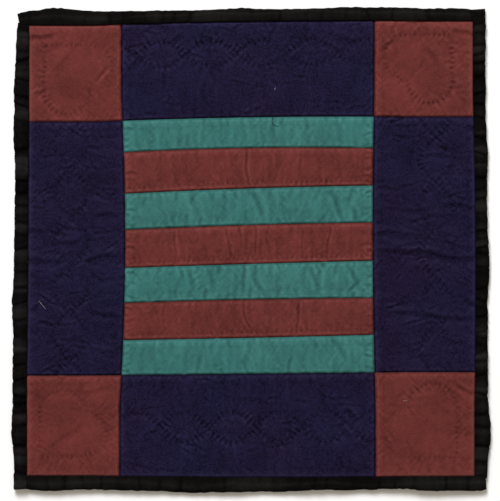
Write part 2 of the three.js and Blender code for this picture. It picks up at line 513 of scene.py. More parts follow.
# Folds that run down a bar from its upper seam: part of the bar's length, how far it leans right by the
# lower seam, how far down it gets as a part of the bar's height, depth and width. Placed one by one.
BAR_FOLDS = {
    "bar_1_teal": [(0.6, -2, 0.7, 0.5, 3.0), (0.73, 2, 0.5, 0.35, 2.6)],
    "bar_2_red": [(0.15, 0, 0.6, 0.25, 0.7), (0.49, 3, 1, 0.65, 0.7), (0.71, 0, 0.7, 0.25, 0.7)],
    "bar_3_teal": [
        (0.27, 6, 0.85, 0.5, 3.0),
        (0.5, 16, 0.9, 0.8, 3.4),
        (0.82, 15, 0.8, 0.6, 3.0),
        (0.92, -8, 0.6, 0.45, 2.6),
    ],
    "bar_4_red": [
        (0.2, 1, 0.9, 0.45, 0.7),
        (0.41, 4, 1, 0.4, 0.7),
        (0.46, 3, 0.6, 0.35, 0.7),
        (0.52, 1, 0.9, 0.5, 0.7),
        (0.58, 1, 0.8, 0.35, 0.7),
        (0.71, 0, 0.8, 0.3, 0.7),
        (0.83, -4, 0.9, 0.45, 0.7),
    ],
    "bar_5_teal": [
        (0.25, 7, 0.95, 0.6, 3.0),
        (0.35, 0, 0.9, 0.55, 3.0),
        (0.48, 0, 0.9, 0.5, 2.6),
        (0.51, 14, 1, 0.8, 3.4),
        (0.73, 14, 0.9, 0.6, 3.0),
        (0.8, -7, 0.5, 0.45, 3.0),
        (0.9, 14, 0.75, 0.55, 3.0),
    ],
    "bar_6_red": [(0.16, 0, 0.7, 0.25, 0.7), (0.48, 8, 0.85, 0.5, 0.7), (0.7, -3, 0.8, 0.45, 0.7)],
    "bar_7_teal": [
        (0.19, 1, 0.6, 0.45, 3.0),
        (0.5, 0, 0.8, 0.35, 2.6),
        (0.82, 24, 0.7, 0.55, 3.4),
    ],
}
FOLD_SOFT = 1.5  # how much wider a fold is on its right
CREST_PLACE, CREST_WIDTH = 2.2, 1.4  # the crest beside a crease, in widths of the crease
CREASE_REACH = 5  # how far to its sides a crease is drawn, in widths


def crease_section(across, width, crest, soft):
    """A groove with a low crest on its left. soft widens its right side."""
    slope = np.where(across > 0, width, soft * width)
    groove = np.exp(-((across / slope) ** 2))
    return groove - crest * np.exp(-(((across - CREST_PLACE * width) / (CREST_WIDTH * width)) ** 2))


def add_crease(height, start, end, depth, width, crest=0.08, soft=1.0):
    """A fold between two places of the layout, which sways a little and fades out at its ends."""
    (x0, y0), (x1, y1) = start, end
    reach = CREASE_REACH * width
    box = (min(x0, x1) - reach, max(x0, x1) + reach, min(y0, y1) - reach, max(y0, y1) + reach)
    where, x, y = height.window(*box)
    length = np.hypot(x1 - x0, y1 - y0)
    dx, dy = (x1 - x0) / length, (y1 - y0) / length
    along = ((x - x0) * dx + (y - y0) * dy) / length
    sway = 0.07 * np.sin(np.pi * along) * rng.uniform(-1, 1) + 0.02 * np.sin(7 * along + rng.uniform(0, 6))
    across = (y - y0) * dx - (x - x0) * dy + sway * length
    ends = smooth_step(along, -0.12, 0.3) * smooth_step(along, 1.15, 0.6)
    height.z[where] -= depth * ends * crease_section(across, width, crest, soft)


def add_folds(height):
    """The folds listed by patch and by bar."""
    for patch, folds in FOLDS.items():
        low, high = corners(patch)
        size = (high - low)[:2]
        for start, end, depth, width in folds:
            place = (low[:2] + size * start, low[:2] + size * end)
            add_crease(height, *place, depth, width, FOLD_CREST, FOLD_SOFT)
    for bar, folds in BAR_FOLDS.items():
        low, high = corners(bar)
        for part, lean, down, depth, width in folds:
            x = low[X] + part * (high[X] - low[X])
            end = (x + lean * down, high[Y] - down * (high[Y] - low[Y]))
            add_crease(height, (x, high[Y]), end, depth, width)


def from_point(x, y, length, angle):
    """The place a length away from a point, at an angle."""
    return x + length * np.cos(angle), y + length * np.sin(angle)


def add_border_wrinkles(height):
    """Fine wrinkles that run mostly from side to side in the borders."""
    boxes_and_counts = [
        (X_LINES[1], X_LINES[2], *FIELD_Y, 70),
        (X_LINES[3], X_LINES[4], *FIELD_Y, 70),
        (*FIELD_X, FIELD_Y[1], Y_LINES[-2], 55),
        (*FIELD_X, Y_LINES[1], FIELD_Y[0], 40),
    ]
    for x0, x1, y0, y1, count in boxes_and_counts:
        for _ in range(count):
            length, angle = rng.uniform(6, 26), rng.normal(0, 0.22)
            x, y = rng.uniform(x0, x1 - length), rng.uniform(y0, y1)
            depth, width = rng.uniform(0.08, 0.34), rng.uniform(0.8, 1.6)
            add_crease(height, (x, y), from_point(x, y, length, angle), depth, width)


# The teal bars, counted from the bottom, and how full each is.
FULLNESS = {0: 0.6, 2: 1.2, 4: 1.0, 6: 0.6}
GATHER_PITCH = 8.5
PUCKER_PITCH = 7.5


def add_bar_gathers(height):
    """The teal bars are gathered a little into their seams: short folds that spread from both."""
    for bar, fullness in FULLNESS.items():
        low, high = Y_LINES[2 + bar], Y_LINES[3 + bar]
        for seam_y, way in ((low, 1), (high, -1)):
            for start in np.arange(FIELD_X[0] + 6, FIELD_X[1] - 6, GATHER_PITCH):
                x = start + rng.uniform(-3.5, 3.5)
                end = (x + rng.normal(0, 4), seam_y + way * rng.uniform(5, 17))
                depth, width = fullness * rng.uniform(0.05, 0.4), rng.uniform(1.6, 3.2)
                add_crease(height, (x, seam_y), end, depth, width)


def add_bar_streaks(height):
    """Fine upright ripples all along the bars, where their cloth is eased in between the seams."""
    where, x, _ = height.window(*FIELD_X, *FIELD_Y)
    ripple = noise(x.shape, in_steps(16, 3.2), rng)
    broad = noise(x.shape, in_steps(14, 9), rng)
    height.z[where] += 0.05 * ripple + 0.07 * broad


def add_seam_puckers(height):
    """The small gathers that run into the bars and borders from the seams across their ends."""
    for place, way in zip(FIELD_X, (1, -1)):
        for start in np.arange(FIELD_Y[0] + 3, FIELD_Y[1] - 3, PUCKER_PITCH):
            y = start + rng.uniform(-2.5, 2.5)
            end = (place + way * rng.uniform(5, 13), y + rng.uniform(-3, 3))
            add_crease(height, (place, y), end, rng.uniform(0.12, 0.42), rng.uniform(0.8, 1.5))


PLEATED = 0.55  # the part of the stitches that have a pleat
SMALL_CREASES = 420


def add_pleats(height):
    """The small pleats that spread from the stitches to one side of their line."""
    for x, y, dx, dy, pull in STITCHES[rng.random(len(STITCHES)) < PLEATED]:
        side = rng.choice([-1, 1])
        reach = side * rng.uniform(4, 9)
        lean = rng.uniform(-1.5, 1.5)
        end = (x - dy * reach + dx * lean, y + dx * reach + dy * lean)
        depth = pull * rng.uniform(0.06, 0.2)
        add_crease(height, (x, y), end, depth, rng.uniform(0.7, 1.1))


def add_small_creases(height):
    """The fine crumpling of cotton that has been washed: short shallow creases in all directions."""
    margin = 14
    for _ in range(SMALL_CREASES):
        x = rng.uniform(LOW[X] + margin, HIGH[X] - margin)
        y = rng.uniform(LOW[Y] + margin, HIGH[Y] - margin)
        angle, length = rng.uniform(0, np.pi), rng.uniform(5, 16)
        depth, width = rng.uniform(0.04, 0.14), rng.uniform(0.8, 2.0)
        add_crease(height, (x, y), from_point(x, y, length, angle), depth, width)


# The section of a seam: the depth and half width of its ditch and of the dip around it, and the step
# up over its allowance.
DITCH, DITCH_WIDTH = 0.52, 0.95
DIP, DIP_WIDTH = 0.16, 4
ALLOWANCE_STEP = 0.14


def seam_lines():
    """Every seam of the patchwork as (axis across it, its place, from, to)."""
    inner_x, inner_y = X_LINES[[1, -2]], Y_LINES[[1, -2]]
    lines = [(X, place, *inner_y) for place in FIELD_X]
    lines += [(Y, place, *inner_x) for place in FIELD_Y]
    lines += [(Y, place, *FIELD_X) for place in Y_LINES[3:-3]]
    return lines


def add_seams(height):
    """Each seam is a narrow ditch, puckered along its length, with a low step over its allowance."""
    for axis, place, start, end in seam_lines():
        span = (place - 10, place + 10)
        box = (*span, start, end) if axis == X else (start, end, *span)
        where, x, y = height.window(*box)
        across, along = (x - place, y) if axis == X else (y - place, x)
        row = np.arange(start, end + 1, 1.0)
        pucker = 1 + 0.3 * np.interp(along, row, line_noise(len(row), 5, rng))
        ditch = DITCH * np.exp(-((across / DITCH_WIDTH) ** 2))
        dip = DIP * np.exp(-((across / DIP_WIDTH) ** 2))
        side = rng.choice([-1, 1])
        under = smooth_step(side * across, 0, 1) * smooth_step(side * across, SEAM_ALLOWANCE + 1.5, 5)
        height.z[where] += ALLOWANCE_STEP * under - pucker * (ditch + dip)


def inside_hems(height):
    """How far each point of a height map lies inside the binding's inner folds."""
    x, y = np.meshgrid(height.xs, height.ys)
    inside_x = np.minimum(x - X_LINES[1], X_LINES[-2] - x)
    inside_y = np.minimum(y - Y_LINES[1], Y_LINES[-2] - y)
    return np.minimum(inside_x, inside_y)


def add_binding_step(height):
    """The face sinks a little where it goes in under the binding."""
    inside = inside_hems(height)
    height.z -= 0.5 * np.exp(-((np.maximum(inside, 0) / 2.2) ** 2))
    height.z -= 1.2 * smooth_step(-inside, -0.5, 0.8)


# Broad unevenness of the face: the size of its patches and their height.
UNEVEN = ((14, 0.072), (30, 0.12), (70, 0.15))
FACE_DROP = 0.4  # the puffed face's hollows lie this far under the flat CAD face


def shape_face():
    """The face's height over the flat CAD face, all over the layout."""
    height = HeightMap()
    rise = spread(simulate_face(), height)
    height.z += np.clip(rise, -0.5, 6) * SIM_GAIN
    add_stitches(height)
    add_pleats(height)
    add_seams(height)
    add_folds(height)
    add_bar_streaks(height)
    add_seam_puckers(height)
    add_bar_gathers(height)
    add_border_wrinkles(height)
    add_small_creases(height)
    for cell, size in UNEVEN:
        height.z += size * noise(height.z.shape, in_steps(cell, cell), rng)
    height.z -= FACE_DROP
    add_binding_step(height)
    return height


RUFFLE_CELL = 38  # how long the ruffles along the edge are
RUFFLE_HEIGHT = 1.8


def shape_lift():
    """How far the whole quilt stands off the ground: it ruffles a little towards its edges."""
    lift = HeightMap()
    waves = noise(lift.z.shape, in_steps(RUFFLE_CELL, RUFFLE_CELL), rng)
    edge = smooth_step(-inside_hems(lift), -45, 8)
    lift.z = edge * np.clip(0.5 + 0.5 * waves, 0, 1.5) * RUFFLE_HEIGHT
    return lift


FACE = shape_face()
LIFT = shape_lift()


# ---------------- patches

UNDERLAP = 2.5  # how far the patches and the backing go in under the binding
EDGE_INSET = 0.25  # how far inside its seam a patch's flat part ends
# The two points of a patch's turned-under edge: how far out past the seam, and how far down.
TURN, UNDER_TURN = (0.12, 0.5), (-0.9, 1.3)
LEVEL = 0.5  # the ridge value of a point that is neither a ridge nor a hollow


def face_points(u, v, drop=0.0):
    """Points of the patchwork's surface, a little lower where drop says."""
    x, y = on_quilt(u, v)
    z = FACE_Z + FACE.read(u, v) + LIFT.read(u, v) - drop
    return np.stack([x, y, z], axis=-1)


def ridges(u, v, reach=2.5):
    """How far the face stands above its neighbourhood, for wear, painted highlight on ridges and painted
    shade in hollows.
    """
    steps = [(reach, 0), (-reach, 0), (0, reach), (0, -reach)]
    around = sum(FACE.read(u + a, v + b) for a, b in steps) / len(steps)
    return np.clip((FACE.read(u, v) - around) * 2 + LEVEL, 0, 1)


def patch_stations(start, end):
    """Stations across a patch, and how low its cloth is there: the two edges turn down and under."""
    out, down = zip(UNDER_TURN, TURN)
    out, down = np.array(out), np.array(down)
    middle = np.linspace(start + EDGE_INSET, end - EDGE_INSET, int((end - start) / GRID))
    at = np.concatenate([start - out, middle, end + out[::-1]])
    drop = np.concatenate([down, np.zeros(len(middle)), down[::-1]])
    return at, drop


def finish_piece(piece, slot, *nodes):
    """Gives a piece its material, attaches it to the root body and hides the CAD nodes that it stands for.
    """
    piece.data.materials.append(MATERIALS[slot])
    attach(piece, "root")
    if nodes:
        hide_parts(*nodes)


def make_patch(name, columns, rows, slot):
    """One patch of the top: a sheet whose seam allowances turn under at the seams."""
    us, drop_u = patch_stations(*columns)
    vs, drop_v = patch_stations(*rows)
    u, v = np.meshgrid(us, vs)
    drop = np.maximum(*np.meshgrid(drop_u, drop_v))
    piece = new_mesh(name + "_cloth", face_points(u, v, drop).reshape(-1, 3), grid_faces(*u.shape))
    set_ridge(piece, ridges(u, v))
    finish_piece(piece, slot, name)


def make_patches():
    """The fifteen patches of the top."""
    columns = {"left": (X_LINES[1] - UNDERLAP, FIELD_X[0]), "right": (FIELD_X[1], X_LINES[-2] + UNDERLAP)}
    rows = {"bottom": (Y_LINES[1] - UNDERLAP, FIELD_Y[0]), "top": (FIELD_Y[1], Y_LINES[-2] + UNDERLAP)}
    for row, height in rows.items():
        for column, width in columns.items():
            make_patch(f"corner_{row}_{column}", width, height, "red_cotton")
    for column, width in columns.items():
        make_patch("border_" + column, width, FIELD_Y, "navy_cotton")
    for row, height in rows.items():
        make_patch("border_" + row, FIELD_X, height, "navy_cotton")
    for number, bar in enumerate(BARS):
        slot = "teal_cotton" if bar.endswith("teal") else "red_cotton"
        make_patch(bar, FIELD_X, Y_LINES[2 + number:4 + number], slot)


# ---------------- backing and batting

DIMPLE = (0.7, 2, 2)  # where a stitch draws the backing up: its height, half length and half width
BACKING_STEP, BATTING_STEP = 1.5, 4  # spacing of their points
BATTING_LOW, BATTING_DROP = 1.5, 2.4  # its underside over the ground, and its top under the CAD face


def shape_underside():
    """The underside's height over the ground: the stitches draw the backing up into dimples."""
    under = HeightMap()
    for x, y, _, _, pull in STITCHES:
        where, at_x, at_y = under.around(x, y, 6)
        under.z[where] += pull * hollow(DIMPLE, at_x - x, at_y - y)
    under.z += 0.25 + 0.08 * noise(under.z.shape, (24, 24), rng)
    under.z = np.clip(under.z, 0.05, 0.9)
    return under


UNDER = shape_underside()


def even_grid(inset, step):
    """An even grid of points over the layout, inset from its outline."""
    spans = zip((LOW + inset)[:2], (HIGH - inset)[:2])
    return np.meshgrid(*(np.linspace(low, high, int((high - low) / step) + 2) for low, high in spans))


def make_backing():
    """The cloth of the underside, drawn up into the batting at each stitch."""
    u, v = even_grid(BINDING_FACE - UNDERLAP, BACKING_STEP)
    x, y = on_quilt(u, v)
    z = CLOTH + UNDER.read(u, v) + LIFT.read(u, v)
    points = np.stack([x, y, z], axis=-1).reshape(-1, 3)
    piece = new_mesh("backing_cloth", points, grid_faces(*u.shape)[:, ::-1])
    set_ridge(piece, np.full(u.size, LEVEL))
    finish_piece(piece, "backing_cotton", "backing")


def make_batting():
    """The wadding between the layers, closed all round: hidden, and of an even thickness."""
    u, v = even_grid(BINDING_FACE / 2, BATTING_STEP)
    x, y = on_quilt(u, v)
    lift = LIFT.read(u, v)
    top = np.stack([x, y, FACE_Z - BATTING_DROP + lift], axis=-1).reshape(-1, 3)
    low = np.stack([x, y, BATTING_LOW + lift], axis=-1).reshape(-1, 3)
    rows, columns = u.shape
    ids = np.arange(u.size).reshape(rows, columns)
    rim = np.concatenate([ids[0], ids[1:, -1], ids[-1, -2::-1], ids[-2:0:-1, 0]])
    after = np.roll(rim, -1)
    walls = np.stack([rim + u.size, after + u.size, after, rim], axis=-1)
    faces = np.concatenate([grid_faces(rows, columns), grid_faces(rows, columns, u.size)[:, ::-1], walls])
    piece = new_mesh("batting_wadding", np.concatenate([top, low]), faces)
    set_ridge(piece, np.full(2 * u.size, LEVEL))
    finish_piece(piece, "batting", "batting")


# ---------------- binding

BINDING_RNG = np.random.default_rng(63)
BINDING_RISE = 0.75  # the binding's face over the patches beside it
ROUND = 2.3  # how far in from the edge the fold starts to round over
START_UNDER = 2  # how far a strip starts under its neighbour's hem
SUNK = 0.85  # how far a strip's face lies lower there
FOLD_DEPTH = 1.3  # of the narrow folds across a strip
# Each side's frame in the layout: its outer corner where it starts, its direction, and inwards.
SIDES = {
    "bottom": ((LOW[X], LOW[Y]), (1, 0), (0, 1), HIGH[X] - LOW[X]),
    "right": ((HIGH[X], LOW[Y]), (0, 1), (-1, 0), HIGH[Y] - LOW[Y]),
    "top": ((HIGH[X], HIGH[Y]), (-1, 0), (0, -1), HIGH[X] - LOW[X]),
    "left": ((LOW[X], HIGH[Y]), (0, -1), (1, 0), HIGH[Y] - LOW[Y]),
}
# Where the outline bulges: part of the side's length from its middle (to the right, or up), and how far.
BULGES = {
    "bottom": [(-0.42, 1.3), (-0.12, 0.8), (0.14, -1.2), (0.38, 2.4), (0.47, 2.5)],
    "right": [(-0.38, 3.0), (-0.04, 1.6), (0.2, 1.0)],
    "top": [(-0.41, 3.0), (-0.02, 1.6), (0.2, 1.0), (0.38, -1.6), (0.48, -2)],
    "left": [(-0.44, -1.5), (-0.38, 1.5), (-0.11, 1.5), (0.25, 1.8), (0.34, 1.5), (0.47, -1)],
}
BULGE_REACH = 20  # half the length of a bulge
# How far the outline is drawn in at each side's left or lower end, and at its other end.
CORNER_PULL = {"bottom": (1, 0), "right": (2, 0), "top": (2, 2), "left": (1, 2)}
# How far each strip's outer fold runs out past its hem at the corner it ends on.
END_SKEW = {"bottom": 0.9, "right": 0.8, "top": 2.2, "left": 0.8}
END_SHORT = {"bottom": 1.5, "right": 2, "top": 2.5, "left": 0}  # how far each strip's end stops short


def binding_section():
    """The strip's section from hem to hem as (distance in, side, drop): side 1 is the face, -1 under."""
    flat = np.linspace(BINDING_FACE - 0.2, ROUND + 0.4, 12)
    turn = np.linspace(np.pi / 2, -np.pi / 2, 13)
    face = [(BINDING_FACE - 1.3, 1, 1.2), (BINDING_FACE + 0.1, 1, 0.75), (BINDING_FACE + 0.05, 1, 0.25)]
    face += [(d, 1, 0) for d in flat]
    fold = [(ROUND * (1 - np.cos(a)), np.sin(a), 0) for a in turn]
    under = [(d, -side, drop * 0.6) for d, side, drop in reversed(face)]
    return np.array(face + fold + under)


def binding_folds(side, along, inward):
    """Narrow folds across one strip, from 0 to 1: many on the side strips, few on the others."""
    size, spacing = (1, 1) if side in ("left", "right") else (0.45, 1.6)
    folds = np.zeros(along.shape)
    place = 14.0
    while place < along.max() - 6:
        tilt, width = BINDING_RNG.uniform(-0.35, 0.35), BINDING_RNG.uniform(1.0, 2.2)
        across = along - place - tilt * inward
        folds += BINDING_RNG.uniform(0.3, 1.0) * size * np.exp(-((across / width) ** 2))
        place += BINDING_RNG.uniform(6, 17) * spacing
    return folds


def binding_ripple(side, along, inward):
    """The relief of one strip's face: ripples across the side strips, long soft pleats on the others."""
    wide = side in ("left", "right")
    cell, coarse, fine, pleated = (8, 0.75, 0.12, 0.1) if wide else (26, 0.25, 0.07, 0.35)
    row = np.arange(0, 460, 1.0)
    ripple = line_noise(len(row), cell, BINDING_RNG) * coarse
    ripple = ripple + line_noise(len(row), 3, BINDING_RNG) * fine
    centre = line_noise(len(row), 30, BINDING_RNG)
    at = along - along.min()
    pleat = np.exp(-(((inward - 5.5 - 1.3 * np.interp(at, row, centre)) / 1.6) ** 2))
    crown = 0.35 * np.sin(np.pi * np.clip(inward / BINDING_FACE, 0, 1))
    return np.interp(at, row, ripple) + crown + pleated * pleat


def strip_stations(length):
    """Places along a strip, and how thick it is at each: it closes at its end."""
    body = np.arange(BINDING_FACE - START_UNDER, length - ROUND, GRID)
    turn = np.linspace(0, np.pi / 2, 7)
    tip = length - ROUND + ROUND * np.sin(turn)
    thick = np.concatenate([np.ones(len(body)), np.cos(turn)])
    thick[-1] = 0.02
    return np.concatenate([body, tip]), thick


def end_shift(side, along, inward, length):
    """How far a strip's points move along it near its end."""
    skew = END_SKEW[side] * smooth_step(along, length - 9, length) * (0.5 - inward / BINDING_FACE)
    return skew - END_SHORT[side] * smooth_step(along, length - 20, length)


def strip_outline(side, place, length, folds):
    """How far a strip's points move outwards: all the way at its outer fold, not at all at its hems."""
    count = len(place)
    outline = 0.2 * line_noise(count, 10, BINDING_RNG)[:, None]
    outline = outline + 0.2 * line_noise(count, 4, BINDING_RNG)[:, None] - 0.45 * folds
    for centre, outward in BULGES[side]:
        outline = outline + outward * np.exp(-(((place - centre) * length / BULGE_REACH) ** 2))
    before, after = CORNER_PULL[side]
    return outline - before * smooth_step(place, -0.46, -0.5) - after * smooth_step(place, 0.46, 0.5)


def strip_heights(along, relief, section, thick):
    """The height of each of a strip's points over the ground."""
    _, side, drop = section.T
    sunk = SUNK * smooth_step(along, BINDING_FACE + 0.4, BINDING_FACE - 0.4)
    top = FACE_Z + BINDING_RISE + relief - sunk + 0.25 * smooth_step(relief, 0.5, -0.5)
    low = 0.1 + sunk * 0.4
    middle, half = (top + low) / 2, (top - low) / 2
    return middle + half * side * thick[:, None] - drop * np.sign(side)


def make_binding(side):
    """One strip: it starts under its neighbour's hem and runs out over the corner at its other end."""
    corner, run, inwards, length = SIDES[side]
    section = binding_section()
    stations, thick = strip_stations(length)
    along, inward = np.meshgrid(stations, section[:, 0], indexing="ij")
    along = along + end_shift(side, along, inward, length)
    u = corner[0] + run[0] * along + inwards[0] * inward
    v = corner[1] + run[1] * along + inwards[1] * inward
    folds = binding_folds(side, along, inward)
    relief = binding_ripple(side, along, inward) - FOLD_DEPTH * folds
    place = (u if side in ("bottom", "top") else v) / length
    outline = strip_outline(side, place, length, folds) * np.clip(1 - inward / BINDING_FACE, 0, 1)
    x, y = on_quilt(u, v)
    x, y = x - inwards[0] * outline, y - inwards[1] * outline
    z = strip_heights(along, relief, section, thick) + LIFT.read(u, v)
    points = np.stack([x, y, z], axis=-1).reshape(-1, 3)
    piece = new_mesh(f"binding_{side}_strip", points, grid_faces(*x.shape))
    # the ripples set the strip's ridge values: painted shade in its folds, and wear and painted highlight
    # on its crests
    set_ridge(piece, np.clip(0.5 + 0.5 * relief, 0, 1))
    finish_piece(piece, "black_cotton", f"binding_{side}")


# ---------------- threads

THREAD_SIDES = 5
THREAD_TIP = 0.35  # how thick a thread's ends are, as a part of its own thickness
STITCH_RADIUS = 0.09
STITCH_SINK = 0.45  # how far a stitch's ends go down into the cloth


def tubes(paths, radius):
    """Points and faces of many short round threads, each along its own path of points."""
    points, faces = [], []
    ring = np.linspace(0, 2 * np.pi, THREAD_SIDES, endpoint=False)
    for path in paths:
        run = np.gradient(path, axis=0)
        run /= np.linalg.norm(run, axis=1, keepdims=True)
        side = np.cross(run, (0, 0, 1))
        side /= np.linalg.norm(side, axis=1, keepdims=True)
        up = np.cross(side, run)
        taper = np.ones(len(path))
        taper[[0, -1]] = THREAD_TIP
        out = np.cos(ring)[None, :, None] * side[:, None] + np.sin(ring)[None, :, None] * up[:, None]
        base = len(points) * THREAD_SIDES
        rows = base + np.arange(len(path) * THREAD_SIDES).reshape(len(path), THREAD_SIDES)
        points.extend(path[:, None] + out * (radius * taper)[:, None, None])
        beside = np.roll(rows, -1, axis=1)
        faces.append(np.stack([rows[:-1], rows[1:], beside[1:], beside[:-1]], axis=-1).reshape(-1, 4))
    return np.concatenate(points), np.concatenate(faces)


def make_threads(name, paths, radius, slot):
    """One piece of many threads."""
    points, faces = tubes(paths, radius)
    piece = new_mesh(name, points, faces)
    set_ridge(piece, np.full(len(points), LEVEL))
    finish_piece(piece, slot)


def stitch_paths(shift, side):
    """Each quilting stitch as a short arch of thread: side 1 on the face, -1 on the backing."""
    paths = []
    t = np.linspace(-0.5, 0.5, 5)
    for x, y, dx, dy, _ in STITCHES:
        u = x + dx * (t * STITCH_LENGTH + shift)
        v = y + dy * (t * STITCH_LENGTH + shift)
        sink = STITCH_SINK * (2 * t) ** 4
        if side > 0:
            points = face_points(u, v) + np.stack([0 * t, 0 * t, 0.1 - sink], axis=-1)
        else:
            px, py = on_quilt(u, v)
            points = np.stack([px, py, CLOTH + UNDER.read(u, v) + LIFT.read(u, v) - 0.1 + sink], axis=-1)
        paths.append(points)
    return paths


def loose_thread(start, bend, end, rise):
    """A snipped tail or a fibre lying on the face."""
    t = np.linspace(0, 1, 16)[:, None]
    start, bend, end = map(np.array, (start, bend, end))
    flat = start * (1 - t) ** 2 + 2 * bend * t * (1 - t) + end * t**2
    points = face_points(flat[:, 0], flat[:, 1])
    points[:, 2] += 0.15 + rise * np.sin(np.pi * t[:, 0])
    return points


def make_loose_thread():
    """A snipped tail of sewing thread that hangs from the uppermost bar's upper seam."""
    x, y = FIELD_X[0] + 0.6 * (FIELD_X[1] - FIELD_X[0]), FIELD_Y[1]
    tail = loose_thread((x, y), (x - 4, y - 7), (x + 5, y - 9), 0.4)
    make_threads("loose_thread", [tail], 0.2, "black_cotton")


def make_lint():
    """Three pale fibres: on the left border, on the lower right corner block and on the top border."""
    left, right, low, high = LOW[X], FIELD_X[1], FIELD_Y[0], FIELD_Y[1]
    hairs = [
        loose_thread((left + 22, -43), (left + 25, -47), (left + 28, -51), 0.4),
        loose_thread((right + 25, low - 25), (right + 27, low - 26), (right + 29, low - 25), 0.2),
        loose_thread((22, high + 27), (22.5, high + 26), (22, high + 24.5), 0.2),
    ]
    make_threads("lint", hairs, 0.06, "batting")


# ---------------- materials

THREAD_PITCH = 0.42  # of the weave, in millimetres
BUMP_HEIGHT = 0.12  # of the weave's relief, in millimetres
# Noises over the cloth, each by its scale, detail and roughness.
DYE = (11, 3, 0.5)
BROAD = (38, 4, 0.55)
PATCHY = (160, 4, 0.6)
DRIFT = (400, 2, 0.5)
GRAIN = (650, 3, 0.75)
SPECKS = (900, 2, 0.7)
SLUBS = (1, 3, 0.6)


class Nodes:
    """A short way to write a material's node tree."""

    def __init__(self, name):
        self.material = bpy.data.materials.new(name)
        self.material.use_nodes = True
        self.tree = self.material.node_tree
        self.shader = self.tree.nodes["Principled BSDF"]
        self.place = self.add("ShaderNodeTexCoord").outputs["Object"]

    def add(self, kind, **settings):
        """A new node."""
        node = self.tree.nodes.new(kind)
        for key, value in settings.items():
            setattr(node, key, value)
        return node

    def feed(self, socket, value):
        """Gives a socket a value, or another node's output."""
        if isinstance(value, (int, float, tuple)):
            socket.default_value = value
        else:
            self.tree.links.new(value, socket)

    def math(self, operation, a, b=0.0, c=0.0):
        """The result of a sum on numbers or other nodes' outputs."""
        node = self.add("ShaderNodeMath", operation=operation)
        for socket, value in zip(node.inputs, (a, b, c)):
            self.feed(socket, value)
        return node.outputs[0]

    def vary(self, base, value, amount, middle=0.5):
        """base, and amount times how far value is over its middle."""
        return self.math("MULTIPLY_ADD", self.math("SUBTRACT", value, middle), amount, base)

    def noise(self, scale, detail, roughness, stretch=None):
        """Noise fixed to the cloth, from 0 to 1."""
        node = self.add("ShaderNodeTexNoise")
        for name, value in zip(("Scale", "Detail", "Roughness"), (scale, detail, roughness)):
            self.feed(node.inputs[name], value)
        place = self.place
        if stretch:
            mapping = self.add("ShaderNodeMapping")
            self.feed(mapping.inputs["Scale"], stretch)
            self.feed(mapping.inputs["Vector"], place)
            place = mapping.outputs[0]
        self.feed(node.inputs["Vector"], place)
        return node.outputs["Fac"]

    def mix(self, factor, a, b, blend="MIX"):
        """A mix of two colours."""
        node = self.add("ShaderNodeMix", data_type="RGBA", blend_type=blend)
        for socket, value in zip((node.inputs[0], node.inputs[6], node.inputs[7]), (factor, a, b)):
            self.feed(socket, value)
        return node.outputs[2]


def woven(n):
    """The crossing threads, from -1 to 1, and the slubs of both directions, about 1."""
    axes = n.add("ShaderNodeSeparateXYZ")
    n.feed(axes.inputs[0], n.place)
    turns = 2 * np.pi / (THREAD_PITCH * MM)
    drift = n.math("MULTIPLY", n.noise(*DRIFT), 3.0)
    warp = n.math("SINE", n.math("MULTIPLY_ADD", axes.outputs[0], turns, drift))
    weft = n.math("SINE", n.math("MULTIPLY_ADD", axes.outputs[1], turns, drift))
    slub_x = n.noise(*SLUBS, stretch=(60, 1500, 60))
    slub_y = n.noise(*SLUBS, stretch=(1500, 60, 60))
    return n.math("MULTIPLY", warp, weft), n.math("ADD", slub_x, slub_y)


def add_relief(n, weave, slubs, patchy):
    """The weave's own relief, as bump."""
    height = n.math("MULTIPLY_ADD", weave, 0.5, n.math("MULTIPLY", slubs, 1.6))
    height = n.math("MULTIPLY_ADD", patchy, 1.2, height)
    bump = n.add("ShaderNodeBump")
    n.feed(bump.inputs["Strength"], 0.6)
    n.feed(bump.inputs["Distance"], BUMP_HEIGHT * MM)
    n.feed(bump.inputs["Height"], height)
    n.feed(n.shader.inputs["Normal"], bump.outputs[0])


def cotton(name, colour, tint, worn_and_highlight_colour, mottle, grainy, relief_shade=0.5, specular=0.03):
    """Plain-woven cotton: crossing threads with slubs, uneven dye, wear and painted highlight on the
    ridges, painted shade in the hollows and a few specks.
    """
    n = Nodes(name)
    weave, slubs = woven(n)
    patchy = n.noise(*PATCHY)
    ridge = n.add("ShaderNodeAttribute", attribute_name="ridge").outputs["Fac"]
    shade = n.vary(1.0, n.noise(*BROAD), 2.4 * mottle)
    shade = n.vary(shade, patchy, 1.6 * mottle)
    shade = n.vary(shade, slubs, 0.9 * mottle, middle=1.0)
    shade = n.vary(shade, n.noise(*GRAIN), grainy)
    shade = n.math("MULTIPLY_ADD", weave, 0.08, shade)
    # painted shade and painted light: the colour darkens in the hollows and lightens on the ridges, by the
    # ridge attribute
    shade = n.vary(shade, ridge, relief_shade)
    dye = n.vary(0.5, n.noise(*DYE), 3.0)
    dye = n.math("MINIMUM", n.math("MAXIMUM", dye, 0.0), 1.0)
    tinted = n.mix(1.0, n.mix(dye, colour, tint), shade, "MULTIPLY")
    # wear and a painted highlight: the ridges are mixed towards the pale colour of wear and painted
    # highlight
    wear_and_highlight = n.math("MULTIPLY", n.math("SUBTRACT", ridge, 0.55), n.math("MULTIPLY", patchy, 0.9))
    worn_and_highlit = n.mix(n.math("MAXIMUM", wear_and_highlight, 0.0), tinted, worn_and_highlight_colour)
    specks = n.math("GREATER_THAN", n.noise(*SPECKS), 0.8)
    n.feed(n.shader.inputs["Base Color"], n.mix(n.math("MULTIPLY", specks, 0.35), worn_and_highlit, worn_and_highlight_colour))
    add_relief(n, weave, slubs, patchy)
    n.feed(n.shader.inputs["Roughness"], 0.75)
    n.feed(n.shader.inputs["Specular IOR Level"], specular)
    n.feed(n.shader.inputs["Sheen Weight"], 0.004)
    n.feed(n.shader.inputs["Sheen Roughness"], 0.45)
    return n.material
